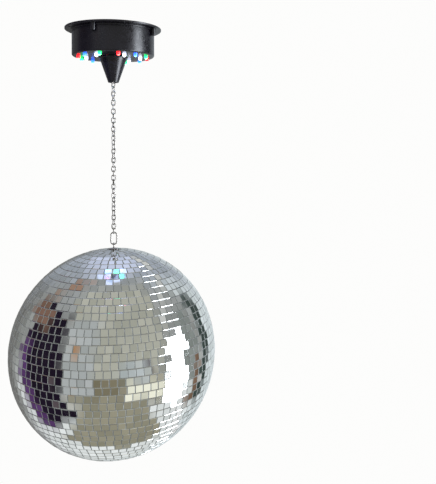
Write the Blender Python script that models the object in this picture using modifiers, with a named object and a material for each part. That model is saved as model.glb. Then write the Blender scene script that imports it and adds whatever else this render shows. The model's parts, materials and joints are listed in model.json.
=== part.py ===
"""Mirror ball on a chain, hanging from a round battery motor with a ring of LEDs.

Metres, +Z up. The origin is the centre of the ceiling plate's top face, and the ball hangs
straight down -Z. Angles around the motor are measured from its front (-Y) towards +X.
"""

import math

import bmesh
import bpy
from mathutils import Matrix

MM = 0.001

# ---- driving sizes -------------------------------------------------------------------------
GAP = 0.3 * MM  # clearance between neighbouring pieces

PLATE_RADIUS = 70.2 * MM
PLATE_THICKNESS = 2.8 * MM
PLATE_EDGE = 0.9 * MM
MOUNT_HOLE_RADIUS = 2.25 * MM
MOUNT_HOLE_CIRCLE = 65.5 * MM
MOUNT_HOLE_ANGLES = (110, 290)

DRUM_RADIUS = 60 * MM
DRUM_FOOT_RADIUS = 61.3 * MM
DRUM_WALL = 2.2 * MM
DRUM_CORNER = 2.6 * MM
FACE_Z = -41 * MM  # the lower face that carries the LEDs
FACE_THICKNESS = 2.2 * MM
BOSS_RADIUS = 3.5 * MM
BOSS_CIRCLE = 63.3 * MM
BOSS_HEIGHT = 10 * MM
BOSS_ANGLES = (-26, 64, 154, 244)

LED_RADIUS = 2.5 * MM
LED_FLANGE_RADIUS = 2.9 * MM
LED_LENGTH = 8.6 * MM
OUTER_LED_CIRCLE = 50.5 * MM
INNER_LED_CIRCLE = 39.5 * MM
FIRST_LED_ANGLE = 8  # degrees from the front to the first red LED

SWITCH_WIDTH = 15 * MM
SWITCH_HEIGHT = 21 * MM
SWITCH_Z = -20.8 * MM
ROCKER_AXIS_Y = 57 * MM

CELL_RADIUS = 7.1 * MM
CELL_LENGTH = 49.5 * MM
CELL_PITCH = 14.8 * MM
FIRST_CELL_Y = -12 * MM
CELL_Z = -11.9 * MM

GEAR_MODULE = 0.6 * MM
WHEEL_TEETH = 40
PINION_TEETH = 8
GEAR_THICKNESS = 2 * MM
BACKLASH = 0.16  # share of a tooth's width taken away
LAYER_TOPS = (-28.3 * MM, -30.9 * MM, -33.5 * MM)  # motor pinion, middle, output wheel
CENTRE_DISTANCE = GEAR_MODULE * (WHEEL_TEETH + PINION_TEETH) / 2
GEAR_2_DIRECTION = 30  # degrees from +X, seen from above
GEAR_1_DIRECTION = 135
MOTOR_DIRECTION = 150
GEAR_PIN_RADIUS = 0.8 * MM
SHAFT_RADIUS = 3 * MM
SHAFT_PIVOT_RADIUS = 1.3 * MM

CONE_BASE_RADIUS = 21.1 * MM
CONE_TIP_RADIUS = 7.6 * MM
CONE_TIP_Z = -79 * MM
CONE_MOUTH_RADIUS = 5.75 * MM

LINK_WIRE = 1.7 * MM
LINK_WIDTH = 7 * MM
LINKS_PER_SECTION = 5
SECTIONS = 7
LINKS = LINKS_PER_SECTION * SECTIONS
LINK_OVERLAP = 0.5 * MM  # links of one section sink this far into each other
FIRST_LINK_ANGLE = 45
LINK_TURN = 90 + 225 / LINKS  # degrees from each link to the next, so the ring faces the front

SHAFT_EYE_Z = -70.3 * MM
EYE_WIRE = 1.8 * MM
SHAFT_EYE_RADIUS = 3.1 * MM  # to the middle of its wire
BALL_EYE_RADIUS = 3.9 * MM
RING_WIRE = 1.9 * MM
RING_WIDTH = 10.7 * MM
RING_LENGTH = 20 * MM

BALL_RADIUS = 150 * MM
BALL_Z = -475 * MM
TILE_THICKNESS = 1.8 * MM
CORE_RADIUS = 146.4 * MM
CORE_WALL = 2.5 * MM
BALL_HOLE_RADIUS = 4 * MM
EYE_SHANK_RADIUS = 2.5 * MM

FACE_INSIDE_Z = FACE_Z + FACE_THICKNESS
DRUM_TOP_Z = -PLATE_THICKNESS - GAP
DRUM_INSIDE_RADIUS = DRUM_RADIUS - DRUM_WALL


# ---- scene, materials and small tools ------------------------------------------------------
for old in list(bpy.data.objects):
    bpy.data.objects.remove(old, do_unlink=True)


def collection(name):
    made = bpy.data.collections.new(name)
    bpy.context.scene.collection.children.link(made)
    return made


PARTS = collection("Mirror_ball")
HELPERS = collection("Cutters")


def material(name, colour, roughness, metallic=0.0):
    made = bpy.data.materials.new(name)
    made.use_nodes = True
    shader = made.node_tree.nodes["Principled BSDF"]
    shader.inputs["Base Color"].default_value = (*colour, 1)
    shader.inputs["Roughness"].default_value = roughness
    shader.inputs["Metallic"].default_value = metallic
    return made


BLACK_PLASTIC = material("black_plastic", (0.018, 0.018, 0.02), 0.35)
GLOSS_BLACK = material("gloss_black", (0.01, 0.01, 0.012), 0.15)
GREY_PLASTIC = material("grey_plastic", (0.3, 0.3, 0.31), 0.5)
GEAR_PLASTIC = material("gear_plastic", (0.85, 0.84, 0.8), 0.45)
BOARD_GREEN = material("board_green", (0.04, 0.2, 0.08), 0.5)
CELL_SKIN = material("cell_skin", (0.12, 0.14, 0.18), 0.35, 0.3)
STEEL = material("steel", (0.55, 0.55, 0.56), 0.3, 1)
NICKEL = material("nickel", (0.62, 0.6, 0.57), 0.2, 1)
BRASS = material("brass", (0.72, 0.52, 0.24), 0.35, 1)
MIRROR = material("mirror", (0.9, 0.9, 0.9), 0.03, 1)
CORE_PLASTIC = material("core_plastic", (0.4, 0.4, 0.42), 0.6)
LED_COLOURS = {
    "red": material("led_red", (0.9, 0.03, 0.02), 0.1),
    "blue": material("led_blue", (0.03, 0.08, 0.9), 0.1),
    "green": material("led_green", (0.03, 0.75, 0.15), 0.1),
    "white": material("led_white", (0.85, 0.9, 1), 0.1),
}


def around(radius, degrees):
    """The (x, y) at this radius and this angle from the front."""
    turn = math.radians(degrees)
    return radius * math.sin(turn), -radius * math.cos(turn)


def towards(start, distance, degrees):
    """The (x, y) this far from start, at an angle counted from +X."""
    turn = math.radians(degrees)
    return start[0] + distance * math.cos(turn), start[1] + distance * math.sin(turn)


def add(name, mesh, look=None, location=(0, 0, 0)):
    """A part if it has a look, and otherwise a hidden helper for Booleans."""
    obj = bpy.data.objects.new(name, mesh)
    (PARTS if look else HELPERS).objects.link(obj)
    obj.location = location
    if look:
        if not mesh.materials:
            mesh.materials.append(look)
    else:
        obj.hide_render = True
        obj.display_type = "WIRE"
    return obj


def mesh_from(bm, name):
    bmesh.ops.recalc_face_normals(bm, faces=bm.faces)
    mesh = bpy.data.meshes.new(name)
    bm.to_mesh(mesh)
    bm.free()
    mesh.shade_smooth()
    mesh.set_sharp_from_angle(angle=math.radians(35))
    return mesh


def box(name, low, high, look=None, bevel=0.0):
    """A box between two corners, with its edges rounded where bevel is given."""
    centre = [(a + b) / 2 for a, b in zip(low, high)]
    size = [b - a for a, b in zip(low, high)]
    bm = bmesh.new()
    bmesh.ops.create_cube(bm, size=1, matrix=Matrix.Diagonal((*size, 1)))
    obj = add(name, mesh_from(bm, name), look, centre)
    if bevel:
        rounding = obj.modifiers.new("Bevel", "BEVEL")
        rounding.width = bevel
        rounding.segments = 2
    return obj


def cylinders(name, places, z_top, z_bottom, radius, look=None, sides=24, low_radius=None):
    """One upright cylinder or cone at each (x, y), all in one object."""
    bm = bmesh.new()
    for x, y in places:
        bmesh.ops.create_cone(
            bm,
            cap_ends=True,
            segments=sides,
            radius1=radius if low_radius is None else low_radius,
            radius2=radius,
            depth=z_top - z_bottom,
            matrix=Matrix.Translation((x, y, (z_top + z_bottom) / 2)),
        )
    return add(name, mesh_from(bm, name), look)


def turned(name, profile, sides, look=None, location=(0, 0, 0), closed=True):
    """A profile of (radius, z), down the outer side and up the inner one, turned about Z."""
    count = len(profile)
    edges = [(i, (i + 1) % count) for i in range(count if closed else count - 1)]
    mesh = bpy.data.meshes.new(name)
    mesh.from_pydata([(radius, 0, z) for radius, z in profile], edges, [])
    obj = add(name, mesh, look, location)
    screw(obj, sides)
    return obj


def screw(obj, sides):
    turn = obj.modifiers.new("Turn", "SCREW")
    turn.steps = turn.render_steps = sides
    turn.use_merge_vertices = True
    turn.merge_threshold = 0.00001
    turn.use_smooth_shade = True


def combine(obj, helper, operation="DIFFERENCE"):
    boolean = obj.modifiers.new(helper.name, "BOOLEAN")
    boolean.object = helper
    boolean.operation = operation


def mesh_of_curve(data, name):
    """The mesh of a curve, with its caps welded on."""
    guide = bpy.data.objects.new(name, data)
    HELPERS.objects.link(guide)
    graph = bpy.context.evaluated_depsgraph_get()
    mesh = bpy.data.meshes.new_from_object(guide.evaluated_get(graph))
    bpy.data.objects.remove(guide)
    bm = bmesh.new()
    bm.from_mesh(mesh)
    bmesh.ops.remove_doubles(bm, verts=bm.verts, dist=0.00001)
    return mesh_from(bm, name)


def slab(name, outline, z_top, z_bottom):
    """The mesh of a flat (x, y) outline between two heights."""
    data = bpy.data.curves.new(name, "CURVE")
    data.dimensions = "2D"
    data.fill_mode = "BOTH"
    data.extrude = (z_top - z_bottom) / 2
    spline = data.splines.new("POLY")
    spline.points.add(len(outline) - 1)
    for point, (x, y) in zip(spline.points, outline):
        point.co = (x, y, 0, 1)
    spline.use_cyclic_u = True
    mesh = mesh_of_curve(data, name)
    mesh.transform(Matrix.Translation((0, 0, (z_top + z_bottom) / 2)))
    return mesh


def wire_loop(name, width, length, wire, end_points, resolution):
    """The mesh of a closed oval of round wire in the XZ plane, measured to its outside."""
    bend = (width - wire) / 2
    straight = (length - wire) / 2 - bend
    step = math.pi / (end_points - 1)
    # with an even count the end is a flat, which is raised to reach the full length
    rise = bend / max(math.sin(step * i) for i in range(end_points))
    points = []
    for side in (1, -1):
        for i in range(end_points):
            turn = step * i
            x = side * bend * math.cos(turn)
            z = side * (straight + rise * math.sin(turn))
            points.append((x, z))
    if straight < wire / 20:  # a round loop has no straight stretch between its ends
        points = [p for i, p in enumerate(points) if i % end_points != end_points - 1]
    data = bpy.data.curves.new(name, "CURVE")
    data.dimensions = "3D"
    data.bevel_depth = wire / 2
    data.bevel_resolution = resolution
    spline = data.splines.new("POLY")
    spline.points.add(len(points) - 1)
    for point, (x, z) in zip(spline.points, points):
        point.co = (x, 0, z, 1)
    spline.use_cyclic_u = True
    return mesh_of_curve(data, name)


def arc(radius, start, end, steps, centre=(0, 0)):
    """Points (radius, z) of an arc, its angles in degrees counted from the outward direction."""
    found = []
    for i in range(steps + 1):
        turn = math.radians(start + (end - start) * i / steps)
        found.append((centre[0] + radius * math.cos(turn), centre[1] + radius * math.sin(turn)))
    return found


# ---- ceiling plate, its screws and the battery door -----------------------------------------
BOSSES = [around(BOSS_CIRCLE, angle) for angle in BOSS_ANGLES]
MOUNT_HOLES = [around(MOUNT_HOLE_CIRCLE, angle) for angle in MOUNT_HOLE_ANGLES]
DOOR_LOW = (-27.6 * MM, -49.6 * MM)
DOOR_HIGH = (27.6 * MM, -4.9 * MM)
DOOR_SLOT = 0.4 * MM
DOOR_TOP, DOOR_BOTTOM = -0.2 * MM, -2.2 * MM
DOOR_AXIS_Y = -6 * MM
CASE_SCREW_HEAD = 2.9 * MM
CASE_SCREW_RADIUS = 1.2 * MM
CASE_SCREW_BOTTOM = -11 * MM


def ceiling_plate():
    profile = [(0, 0), (PLATE_RADIUS, 0)]
    profile += arc(PLATE_EDGE, 0, -90, 2, (PLATE_RADIUS - PLATE_EDGE, PLATE_EDGE - PLATE_THICKNESS))
    profile += [(0, -PLATE_THICKNESS)]
    plate = turned("ceiling_plate", profile, 48, BLACK_PLASTIC, closed=False)
    through = (MM, -PLATE_THICKNESS - MM)
    combine(plate, cylinders("mount_holes", MOUNT_HOLES, *through, MOUNT_HOLE_RADIUS, sides=12))
    shank = CASE_SCREW_RADIUS + GAP
    combine(plate, cylinders("case_screw_holes", BOSSES, *through, shank, sides=10))
    head = CASE_SCREW_HEAD + GAP
    sink = cylinders("case_screw_sinks", BOSSES, MM, -2 * MM, head + MM, None, 10, shank)
    combine(plate, sink)
    low = (DOOR_LOW[0] - DOOR_SLOT, DOOR_LOW[1] - DOOR_SLOT, -PLATE_THICKNESS - MM)
    high = (DOOR_HIGH[0] + DOOR_SLOT, DOOR_HIGH[1] + 1.5 * DOOR_SLOT, MM)
    combine(plate, box("door_opening", low, high))


def case_screws():
    profile = [
        (0, -0.3 * MM),
        (CASE_SCREW_HEAD, -0.3 * MM),
        (CASE_SCREW_RADIUS, -2 * MM),
        (CASE_SCREW_RADIUS, CASE_SCREW_BOTTOM),
        (0, CASE_SCREW_BOTTOM),
    ]
    for i, (x, y) in enumerate(BOSSES):
        turned(f"case_screw_{i + 1}", profile, 8, STEEL, (x, y, 0), closed=False)


def battery_door():
    """Its origin is on the hinge axis, along X near its inner edge."""
    hinge_z = (DOOR_TOP + DOOR_BOTTOM) / 2
    low = (DOOR_LOW[0], DOOR_LOW[1] - DOOR_AXIS_Y, DOOR_BOTTOM - hinge_z)
    high = (DOOR_HIGH[0], DOOR_HIGH[1] - DOOR_AXIS_Y, DOOR_TOP - hinge_z)
    door = box("battery_door", low, high, BLACK_PLASTIC)
    shift = door.location.copy()
    door.data.transform(Matrix.Translation(shift))
    door.location = (0, DOOR_AXIS_Y, hinge_z)


# ---- motor housing ---------------------------------------------------------------------------
BUSH_HOLE_RADIUS = 8 * MM
OUTER_LEDS = [around(OUTER_LED_CIRCLE, FIRST_LED_ANGLE + 30 * i) for i in range(12)]
INNER_LEDS = [around(INNER_LED_CIRCLE, FIRST_LED_ANGLE + 15 + 60 * i) for i in range(6)]
BEZEL_BACK_Y = 59.3 * MM
BEZEL_FRONT_Y = 60.9 * MM
SWITCH_BODY_WIDTH = 12.8 * MM
SWITCH_BODY_HEIGHT = 19 * MM
SWITCH_BACK_Y = 46 * MM


def motor_housing():
    corner = (DRUM_RADIUS - DRUM_CORNER, FACE_Z + DRUM_CORNER)
    profile = [
        (DRUM_FOOT_RADIUS, DRUM_TOP_Z),
        (DRUM_FOOT_RADIUS, -5.2 * MM),
        (DRUM_RADIUS + 0.4 * MM, -6 * MM),
    ]
    profile += arc(DRUM_CORNER, 0, -90, 2, corner)
    profile += [
        (BUSH_HOLE_RADIUS, FACE_Z),
        (BUSH_HOLE_RADIUS, FACE_INSIDE_Z),
        (DRUM_INSIDE_RADIUS, FACE_INSIDE_Z),
        (DRUM_INSIDE_RADIUS, DRUM_TOP_Z),
    ]
    drum = turned("motor_housing", profile, 40, BLACK_PLASTIC)
    boss_bottom = DRUM_TOP_Z - BOSS_HEIGHT
    combine(drum, cylinders("bosses", BOSSES, DRUM_TOP_Z, boss_bottom, BOSS_RADIUS, sides=12), "UNION")
    pilot = CASE_SCREW_RADIUS + GAP
    pilots = cylinders("pilot_holes", BOSSES, MM, CASE_SCREW_BOTTOM - 0.6 * MM, pilot, sides=10)
    combine(drum, pilots)
    holes = cylinders(
        "led_holes",
        OUTER_LEDS + INNER_LEDS,
        FACE_INSIDE_Z + MM,
        FACE_Z - MM,
        LED_RADIUS + GAP,
        sides=8,
    )
    combine(drum, holes)
    for name, width, height, y in (
        ("bezel_recess", SWITCH_WIDTH, SWITCH_HEIGHT, BEZEL_BACK_Y),
        ("switch_cutout", SWITCH_BODY_WIDTH, SWITCH_BODY_HEIGHT, SWITCH_BACK_Y),
    ):
        low = (-width / 2 - GAP, y - GAP, SWITCH_Z - height / 2 - GAP)
        high = (width / 2 + GAP, y + 20 * MM, SWITCH_Z + height / 2 + GAP)
        combine(drum, box(name, low, high))


def leds():
    """Each LED points down; its flange sits inside the face, and its dome comes through."""
    top = FACE_INSIDE_Z + GAP + MM
    flange_bottom = top - MM
    dome_z = top - LED_LENGTH + LED_RADIUS
    profile = [(0, top), (LED_FLANGE_RADIUS, top), (LED_FLANGE_RADIUS, flange_bottom)]
    profile += [(LED_RADIUS, flange_bottom)]
    profile += arc(LED_RADIUS, 0, -90, 2, (0, dome_z))[:-1] + [(0, dome_z - LED_RADIUS)]
    order = ("red", "blue", "green")
    for i, (x, y) in enumerate(OUTER_LEDS):
        colour = order[i % 3]
        name = f"led_{colour}_{i // 3 + 1}"
        turned(name, profile, 8, LED_COLOURS[colour], (x, y, 0), closed=False)
    for i, (x, y) in enumerate(INNER_LEDS):
        turned(f"led_white_{i + 1}", profile, 8, LED_COLOURS["white"], (x, y, 0), closed=False)


def led_board():
    top, bottom = -35.6 * MM, -37.2 * MM
    outer, inner = 55.5 * MM, 34 * MM
    profile = [(outer, top), (outer, bottom), (inner, bottom), (inner, top)]
    turned("led_board", profile, 24, BOARD_GREEN)


# ---- switch ----------------------------------------------------------------------------------
def switch():
    """A rocker switch in the back of the drum; the rocker turns about X."""
    half_height = SWITCH_BODY_HEIGHT / 2
    half_width = SWITCH_BODY_WIDTH / 2
    low = (-SWITCH_WIDTH / 2, BEZEL_BACK_Y, SWITCH_Z - SWITCH_HEIGHT / 2)
    high = (SWITCH_WIDTH / 2, BEZEL_FRONT_Y, SWITCH_Z + SWITCH_HEIGHT / 2)
    frame = box("switch_frame", low, high, GLOSS_BLACK)
    low = (-half_width, SWITCH_BACK_Y, SWITCH_Z - half_height)
    high = (half_width, BEZEL_BACK_Y + 0.5 * MM, SWITCH_Z + half_height)
    combine(frame, box("switch_back", low, high), "UNION")
    rocker_half_width, rocker_reach, well = 5.2 * MM, 7.9 * MM, 0.4 * MM
    low = (-rocker_half_width - well, ROCKER_AXIS_Y - 3.6 * MM, SWITCH_Z - rocker_reach - well)
    high = (rocker_half_width + well, BEZEL_FRONT_Y + MM, SWITCH_Z + rocker_reach + well)
    combine(frame, box("rocker_well", low, high))
    # the rocker's side view: two slopes meeting in a shallow valley, ends on an arc about its axis
    crest, valley = 4.9 * MM, 3.9 * MM
    end = math.sqrt(rocker_reach**2 - crest**2)
    skirt, skirt_end = 2 * MM, 7.6 * MM
    belly, belly_end = -1.5 * MM, 5 * MM
    outline = [(crest, -end), (valley, 0), (crest, end), (skirt, skirt_end)]
    outline += [(belly, belly_end), (belly, -belly_end), (skirt, -skirt_end)]
    mesh = slab("switch_rocker", outline, rocker_half_width, -rocker_half_width)
    # the outline's x, y and thickness become y, z and x
    mesh.transform(Matrix(((0, 0, 1, 0), (1, 0, 0, 0), (0, 1, 0, 0), (0, 0, 0, 1))))
    add("switch_rocker", mesh, GLOSS_BLACK, (0, ROCKER_AXIS_Y, SWITCH_Z))


# ---- batteries -------------------------------------------------------------------------------
TRAY_HALF_LENGTH = 27.6 * MM
CONTACT_X = 25.6 * MM
CELL_ROWS = [FIRST_CELL_Y - CELL_PITCH * i for i in range(3)]


def battery_tray():
    inner_y, outer_y = -3.6 * MM, -50.4 * MM
    low = (-TRAY_HALF_LENGTH, outer_y, -20.6 * MM)
    tray = box("battery_tray", low, (TRAY_HALF_LENGTH, inner_y, -3.4 * MM), BLACK_PLASTIC)
    wall = 1.1 * MM
    low = (-TRAY_HALF_LENGTH + wall, outer_y + wall, -19.5 * MM)
    high = (TRAY_HALF_LENGTH - wall, inner_y - wall, MM)
    combine(tray, box("tray_hollow", low, high))
    limit = cylinders("tray_limit", [(0, 0)], MM, -30 * MM, DRUM_INSIDE_RADIUS - 2 * GAP, sides=48)
    combine(tray, limit, "INTERSECT")


def batteries():
    """Three cells lie along X, each turned the other way from its neighbour."""
    half = CELL_LENGTH / 2
    tip = 0.9 * MM
    profile = [
        (0, half),
        (2.6 * MM, half),
        (2.6 * MM, half - tip),
        (CELL_RADIUS, half - tip),
        (CELL_RADIUS, -half),
        (0, -half),
    ]
    for i, y in enumerate(CELL_ROWS):
        cell = turned(f"battery_{i + 1}", profile, 14, CELL_SKIN, (0, y, CELL_Z), closed=False)
        cell.rotation_euler = (0, math.radians(90 if i % 2 else -90), 0)


def battery_contacts():
    """One spring-steel strip at each end: left joins the first two cells, right the last two."""
    thickness, reach = 0.5 * MM, 5 * MM
    for side, name, rows in ((-1, "contact_left", CELL_ROWS[:2]), (1, "contact_right", CELL_ROWS[1:])):
        near = side * CONTACT_X
        far = side * (CONTACT_X + thickness)
        low = (min(near, far), rows[1] - reach, CELL_Z - reach)
        high = (max(near, far), rows[0] + reach, CELL_Z + reach)
        box(name, low, high, STEEL)


# ---- gearbox ---------------------------------------------------------------------------------
GEAR_2_AT = towards((0, 0), CENTRE_DISTANCE, GEAR_2_DIRECTION)
GEAR_1_AT = towards(GEAR_2_AT, CENTRE_DISTANCE, GEAR_1_DIRECTION)
MOTOR_AT = towards(GEAR_1_AT, CENTRE_DISTANCE, MOTOR_DIRECTION)
FRAME_TOP, FRAME_BOTTOM = -26.1 * MM, -27.7 * MM
SHAFT_TOP_Z = FRAME_TOP - GAP
COLLAR_TOP_Z, COLLAR_BOTTOM_Z = -36.1 * MM, -37 * MM
COLLAR_RADIUS = 5.5 * MM
BUSH_RADIUS = 10 * MM
MOTOR_RADIUS = 10.2 * MM
MOTOR_TOP_Z = -4.2 * MM
MOTOR_SHAFT_RADIUS = 1 * MM
MOTOR_SHAFT_TOP_Z = -23 * MM
BELOW_GEARS_Z = -40 * MM


def gear_outline(teeth, phase):
    """Straight-flanked teeth through an involute's root and tip; one is centred at phase."""
    pitch_radius = GEAR_MODULE * teeth / 2
    pressure = math.radians(20)
    base_radius = pitch_radius * math.cos(pressure)
    half_at_pitch = math.pi / (2 * teeth) * (1 - BACKLASH)
    full = half_at_pitch + math.tan(pressure) - pressure

    def half_angle(radius):
        lean = math.acos(min(1, base_radius / radius))
        return full - (math.tan(lean) - lean)

    tip = pitch_radius + 0.85 * GEAR_MODULE
    root = pitch_radius - 1.15 * GEAR_MODULE
    points = []
    for i in range(teeth):
        middle = math.radians(phase) + 2 * math.pi * i / teeth
        for radius, side in ((root, -1), (tip, -1), (tip, 1), (root, 1)):
            turn = middle + side * half_angle(radius)
            points.append((radius * math.cos(turn), radius * math.sin(turn)))
    return points


def meshing_phase(teeth, direction, other_teeth, other_phase):
    """The phase that puts a gap of this gear on a tooth of the other, seen from the other."""
    ahead = (direction - other_phase) * other_teeth / teeth
    return direction + 180 + 180 / teeth + ahead


def output_parts():
    layer = LAYER_TOPS[2]
    mesh = slab("output_gear", gear_outline(WHEEL_TEETH, 0), layer, layer - GEAR_THICKNESS)
    gear = add("output_gear", mesh, GEAR_PLASTIC)
    bore = cylinders("output_bore", [(0, 0)], layer + MM, BELOW_GEARS_Z, SHAFT_RADIUS + GAP, sides=20)
    combine(gear, bore)

    shoulder = layer + 0.1 * MM
    shaft_bottom = SHAFT_EYE_Z + SHAFT_EYE_RADIUS
    profile = [
        (0, SHAFT_TOP_Z),
        (SHAFT_PIVOT_RADIUS, SHAFT_TOP_Z),
        (SHAFT_PIVOT_RADIUS, shoulder),
        (SHAFT_RADIUS, shoulder),
        (SHAFT_RADIUS, shaft_bottom),
        (0, shaft_bottom),
    ]
    shaft = turned("output_shaft", profile, 20, STEEL, closed=False)
    outside = 2 * SHAFT_EYE_RADIUS + EYE_WIRE
    eye = add("shaft_eye", wire_loop("shaft_eye", outside, outside, EYE_WIRE, 7, 1))
    eye.location.z = SHAFT_EYE_Z
    eye.rotation_euler.z = math.radians(FIRST_LINK_ANGLE + 90)
    combine(shaft, eye, "UNION")

    bore = SHAFT_RADIUS + GAP
    collar = [
        (COLLAR_RADIUS, COLLAR_TOP_Z),
        (COLLAR_RADIUS, COLLAR_BOTTOM_Z),
        (bore, COLLAR_BOTTOM_Z),
        (bore, COLLAR_TOP_Z),
    ]
    turned("shaft_collar", collar, 20, STEEL)
    bush_top = COLLAR_BOTTOM_Z - GAP
    flange = FACE_INSIDE_Z + GAP
    bushing = [
        (BUSH_RADIUS, bush_top),
        (BUSH_RADIUS, flange),
        (BUSH_HOLE_RADIUS - GAP, flange),
        (BUSH_HOLE_RADIUS - GAP, FACE_Z),
        (bore, FACE_Z),
        (bore, bush_top),
    ]
    turned("output_bushing", bushing, 20, BRASS)


def gear_pair(name, at, wheel_layer, pinion_layer, wheel_phase, pinion_phase):
    """A wheel with a smaller gear under it, turning on a fixed pin; its origin is on its axis."""
    wheel_bottom = wheel_layer - GEAR_THICKNESS
    wheel = slab(name, gear_outline(WHEEL_TEETH, wheel_phase), wheel_layer, wheel_bottom)
    obj = add(name, wheel, GEAR_PLASTIC, (*at, 0))
    outline = gear_outline(PINION_TEETH, pinion_phase)
    overlap = 0.5 * MM
    low = slab(name + "_pinion", outline, wheel_bottom + overlap, pinion_layer - GEAR_THICKNESS)
    pinion = add(name + "_pinion", low)
    pinion.location = (*at, 0)
    combine(obj, pinion, "UNION")
    bore = GEAR_PIN_RADIUS + 0.2 * MM
    combine(obj, cylinders(name + "_bore", [at], wheel_layer + MM, BELOW_GEARS_Z, bore, sides=10))


def gears():
    gear_2_pinion = meshing_phase(PINION_TEETH, GEAR_2_DIRECTION, WHEEL_TEETH, 0)
    gear_pair("gear_2", GEAR_2_AT, LAYER_TOPS[1], LAYER_TOPS[2], 0, gear_2_pinion)
    gear_1_pinion = meshing_phase(PINION_TEETH, GEAR_1_DIRECTION, WHEEL_TEETH, 0)
    gear_pair("gear_1", GEAR_1_AT, LAYER_TOPS[0], LAYER_TOPS[1], 0, gear_1_pinion)
    pin_bottom = FACE_INSIDE_Z + GAP
    for name, at in (("gear_pin_1", GEAR_1_AT), ("gear_pin_2", GEAR_2_AT)):
        cylinders(name, [at], FRAME_BOTTOM - GAP, pin_bottom, GEAR_PIN_RADIUS, STEEL, sides=10)

    phase = meshing_phase(PINION_TEETH, MOTOR_DIRECTION, WHEEL_TEETH, 0)
    layer = LAYER_TOPS[0]
    mesh = slab("motor_pinion", gear_outline(PINION_TEETH, phase), layer, layer - GEAR_THICKNESS)
    pinion = add("motor_pinion", mesh, BRASS, (*MOTOR_AT, 0))
    top, inside_pinion = MOTOR_SHAFT_TOP_Z, layer - MM
    shaft = cylinders("motor_shaft", [MOTOR_AT], top, inside_pinion, MOTOR_SHAFT_RADIUS, sides=10)
    combine(pinion, shaft, "UNION")


def drive_motor():
    can = cylinders("drive_motor", [MOTOR_AT], MOTOR_TOP_Z, FRAME_TOP + GAP, MOTOR_RADIUS, STEEL, sides=24)
    hole_top = MOTOR_SHAFT_TOP_Z + 2 * GAP
    radius = MOTOR_SHAFT_RADIUS + 0.4 * MM
    combine(can, cylinders("motor_shaft_hole", [MOTOR_AT], hole_top, BELOW_GEARS_Z, radius, sides=10))


def gearbox_frame():
    """A plate over the gears on three legs, clear of the wheels and of the wall."""
    corners = ((27, -12), (27, 8), (21.5, 29), (-8, 36.5), (-22, 26), (-22, 0), (0, -8))
    outline = [(x * MM, y * MM) for x, y in corners]
    frame = add("gearbox_frame", slab("gearbox_frame", outline, FRAME_TOP, FRAME_BOTTOM), GREY_PLASTIC)
    legs = [(22 * MM, -7.5 * MM), (-18 * MM, 4 * MM), (17.5 * MM, 25 * MM)]
    leg_top = FRAME_BOTTOM + 0.8 * MM
    leg_radius = 2.4 * MM
    feet = cylinders("frame_legs", legs, leg_top, FACE_INSIDE_Z + GAP, leg_radius, sides=12)
    combine(frame, feet, "UNION")
    for name, at, radius in (
        ("frame_shaft_hole", (0, 0), SHAFT_PIVOT_RADIUS + GAP),
        ("frame_motor_hole", MOTOR_AT, MOTOR_SHAFT_RADIUS + 2 * GAP),
    ):
        combine(frame, cylinders(name, [at], FRAME_TOP + MM, FRAME_BOTTOM - MM, radius, sides=12))


# ---- cone ------------------------------------------------------------------------------------
def nose_cone():
    """The cone turns with the shaft; its hub grips the shaft, and the chain leaves its mouth."""
    base_z = FACE_Z - 0.6 * MM
    lip_z = base_z - 1.6 * MM
    waist = CONE_BASE_RADIUS - 0.9 * MM
    wall = 2.2 * MM
    floor_z = base_z - 2.2 * MM
    slope = (waist - CONE_TIP_RADIUS) / (lip_z - CONE_TIP_Z)

    def inside(z):
        return CONE_TIP_RADIUS + slope * (z - CONE_TIP_Z) - wall

    hub = 6.4 * MM
    hub_bottom = -57 * MM
    throat_z = CONE_TIP_Z + 3 * MM
    bore = SHAFT_RADIUS + GAP
    profile = [
        (CONE_BASE_RADIUS - 0.5 * MM, base_z),
        (CONE_BASE_RADIUS, base_z - 0.4 * MM),
        (CONE_BASE_RADIUS, lip_z + 0.3 * MM),
        (waist, lip_z),
        (CONE_TIP_RADIUS, CONE_TIP_Z + 0.7 * MM),
        (CONE_TIP_RADIUS - 0.6 * MM, CONE_TIP_Z),
        (CONE_MOUTH_RADIUS + 0.4 * MM, CONE_TIP_Z),
        (CONE_MOUTH_RADIUS, CONE_TIP_Z + 0.4 * MM),
        (CONE_MOUTH_RADIUS, throat_z),
        (inside(throat_z + 2 * MM), throat_z + 2 * MM),
        (inside(floor_z), floor_z),
        (hub, floor_z),
        (hub, hub_bottom),
        (bore, hub_bottom),
        (bore, base_z),
    ]
    turned("nose_cone", profile, 28, BLACK_PLASTIC)


# ---- chain, ring and eye ---------------------------------------------------------------------
FIRST_INNER_TOP = SHAFT_EYE_Z - SHAFT_EYE_RADIUS + EYE_WIRE / 2 + GAP
BALL_EYE_Z = BALL_Z + BALL_RADIUS + 1.3 * MM + BALL_EYE_RADIUS - GAP
RING_INNER_BOTTOM = BALL_EYE_Z + BALL_EYE_RADIUS - EYE_WIRE / 2 - GAP
RING_Z = RING_INNER_BOTTOM - RING_WIRE + RING_LENGTH / 2
LAST_INNER_BOTTOM = RING_Z + RING_LENGTH / 2 - RING_WIRE - GAP
JOINS = SECTIONS - 1
FUSED = LINKS - 1 - JOINS
CHAIN_LENGTH = FIRST_INNER_TOP - LAST_INNER_BOTTOM
LINK_INSIDE = (CHAIN_LENGTH - FUSED * LINK_OVERLAP + JOINS * GAP) / LINKS


def link_tops():
    """The height of the inside top of each link."""
    tops = [FIRST_INNER_TOP]
    for i in range(1, LINKS):
        between_sections = i % LINKS_PER_SECTION == 0
        pitch = LINK_INSIDE - GAP if between_sections else LINK_INSIDE + LINK_OVERLAP
        tops.append(tops[-1] - pitch)
    return tops


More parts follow.
